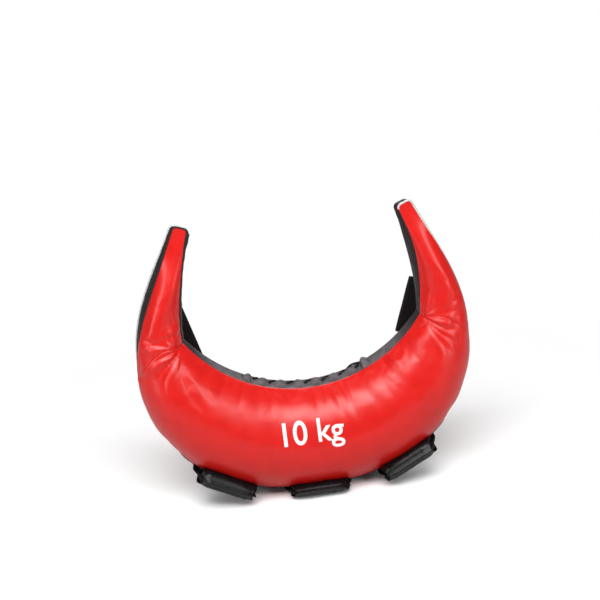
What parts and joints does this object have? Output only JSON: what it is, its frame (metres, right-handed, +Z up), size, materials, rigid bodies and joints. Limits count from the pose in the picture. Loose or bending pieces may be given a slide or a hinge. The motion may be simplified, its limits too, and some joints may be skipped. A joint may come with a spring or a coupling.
{
  "type": "bulgarian bag",
  "caption": "Crescent-shaped sand bag for strength training, with tapering horns, a laced neck gusset, padded carrying handles underneath and hand straps on the backs of the horns.",
  "frame": {"origin": "on the floor under the middle of the belly, at the middle of the bag's box", "axes": "+Z up, -Y out of the front face, +X to the right as the front is seen"},
  "size_m": [0.542, 0.16, 0.4655],
  "materials": {
    "red_leather": "smooth coated synthetic leather, satin sheen",
    "grey_gusset": "dark grey coated cloth with a fine grain, dull sheen",
    "reflective_piping": "grey reflective piping with fine dark cross ribs",
    "black_webbing": "matte woven nylon webbing",
    "black_lace": "matte braided lace",
    "black_leather": "smooth coated synthetic leather, satin sheen",
    "grip_foam": "closed-cell foam",
    "sack_cloth": "plain woven liner",
    "sand_filling": "packed sand and textile mix",
    "textile_stuffing": "packed textile waste"
  },
  "bodies": {
    "bag": {"front_belly_panel": "red_leather", "back_belly_panel": "red_leather", "front_horn_panel_left": "red_leather", "front_horn_panel_right": "red_leather", "back_horn_panel_left": "red_leather", "back_horn_panel_right": "red_leather", "outer_gusset": "grey_gusset", "inner_gusset_left": "grey_gusset", "inner_gusset_right": "grey_gusset", "lacing_flap_front": "grey_gusset", "lacing_flap_back": "grey_gusset", "lacing_placket": "black_webbing", "lacing_cord": "black_lace", "front_piping": "reflective_piping", "back_piping": "reflective_piping", "filling_sack": "sack_cloth", "belly_filling": "sand_filling", "horn_stuffing_left": "textile_stuffing", "horn_stuffing_right": "textile_stuffing", "base_strap": "black_webbing", "hand_strap_patch_left": "black_webbing", "hand_strap_patch_right": "black_webbing"},
    "handle_left": {"handle_webbing_left": "black_webbing", "grip_sleeve_left": "black_leather", "grip_foam_left": "grip_foam"},
    "handle_centre": {"handle_webbing_centre": "black_webbing", "grip_sleeve_centre": "black_leather", "grip_foam_centre": "grip_foam"},
    "handle_right": {"handle_webbing_right": "black_webbing", "grip_sleeve_right": "black_leather", "grip_foam_right": "grip_foam"},
    "hand_strap_left": {"hand_strap_loop_left": "black_webbing"},
    "hand_strap_right": {"hand_strap_loop_right": "black_webbing"}
  },
  "joints": [
    {"name": "handle_left_swing", "type": "hinge", "parent": "bag", "child": "handle_left", "pos_m": [-0.15151, 0, 0.03759], "axis": [0.8797, 0, -0.4754], "range_deg": [0, 150]},
    {"name": "handle_centre_swing", "type": "hinge", "parent": "bag", "child": "handle_centre", "pos_m": [0, 0, 0.00138], "axis": [1, 0, 0], "range_deg": [0, 170]},
    {"name": "handle_right_swing", "type": "hinge", "parent": "bag", "child": "handle_right", "pos_m": [0.15151, 0, 0.03759], "axis": [0.8797, 0, 0.4754], "range_deg": [0, 150]},
    {"name": "hand_strap_left_swing", "type": "hinge", "parent": "bag", "child": "hand_strap_left", "pos_m": [-0.21363, 0.04283, 0.31424], "axis": [0.9733, 0, 0.2294], "range_deg": [0, 140]},
    {"name": "hand_strap_right_swing", "type": "hinge", "parent": "bag", "child": "hand_strap_right", "pos_m": [0.21363, 0.04283, 0.31424], "axis": [0.9733, 0, -0.2294], "range_deg": [0, 140]}
  ]
}
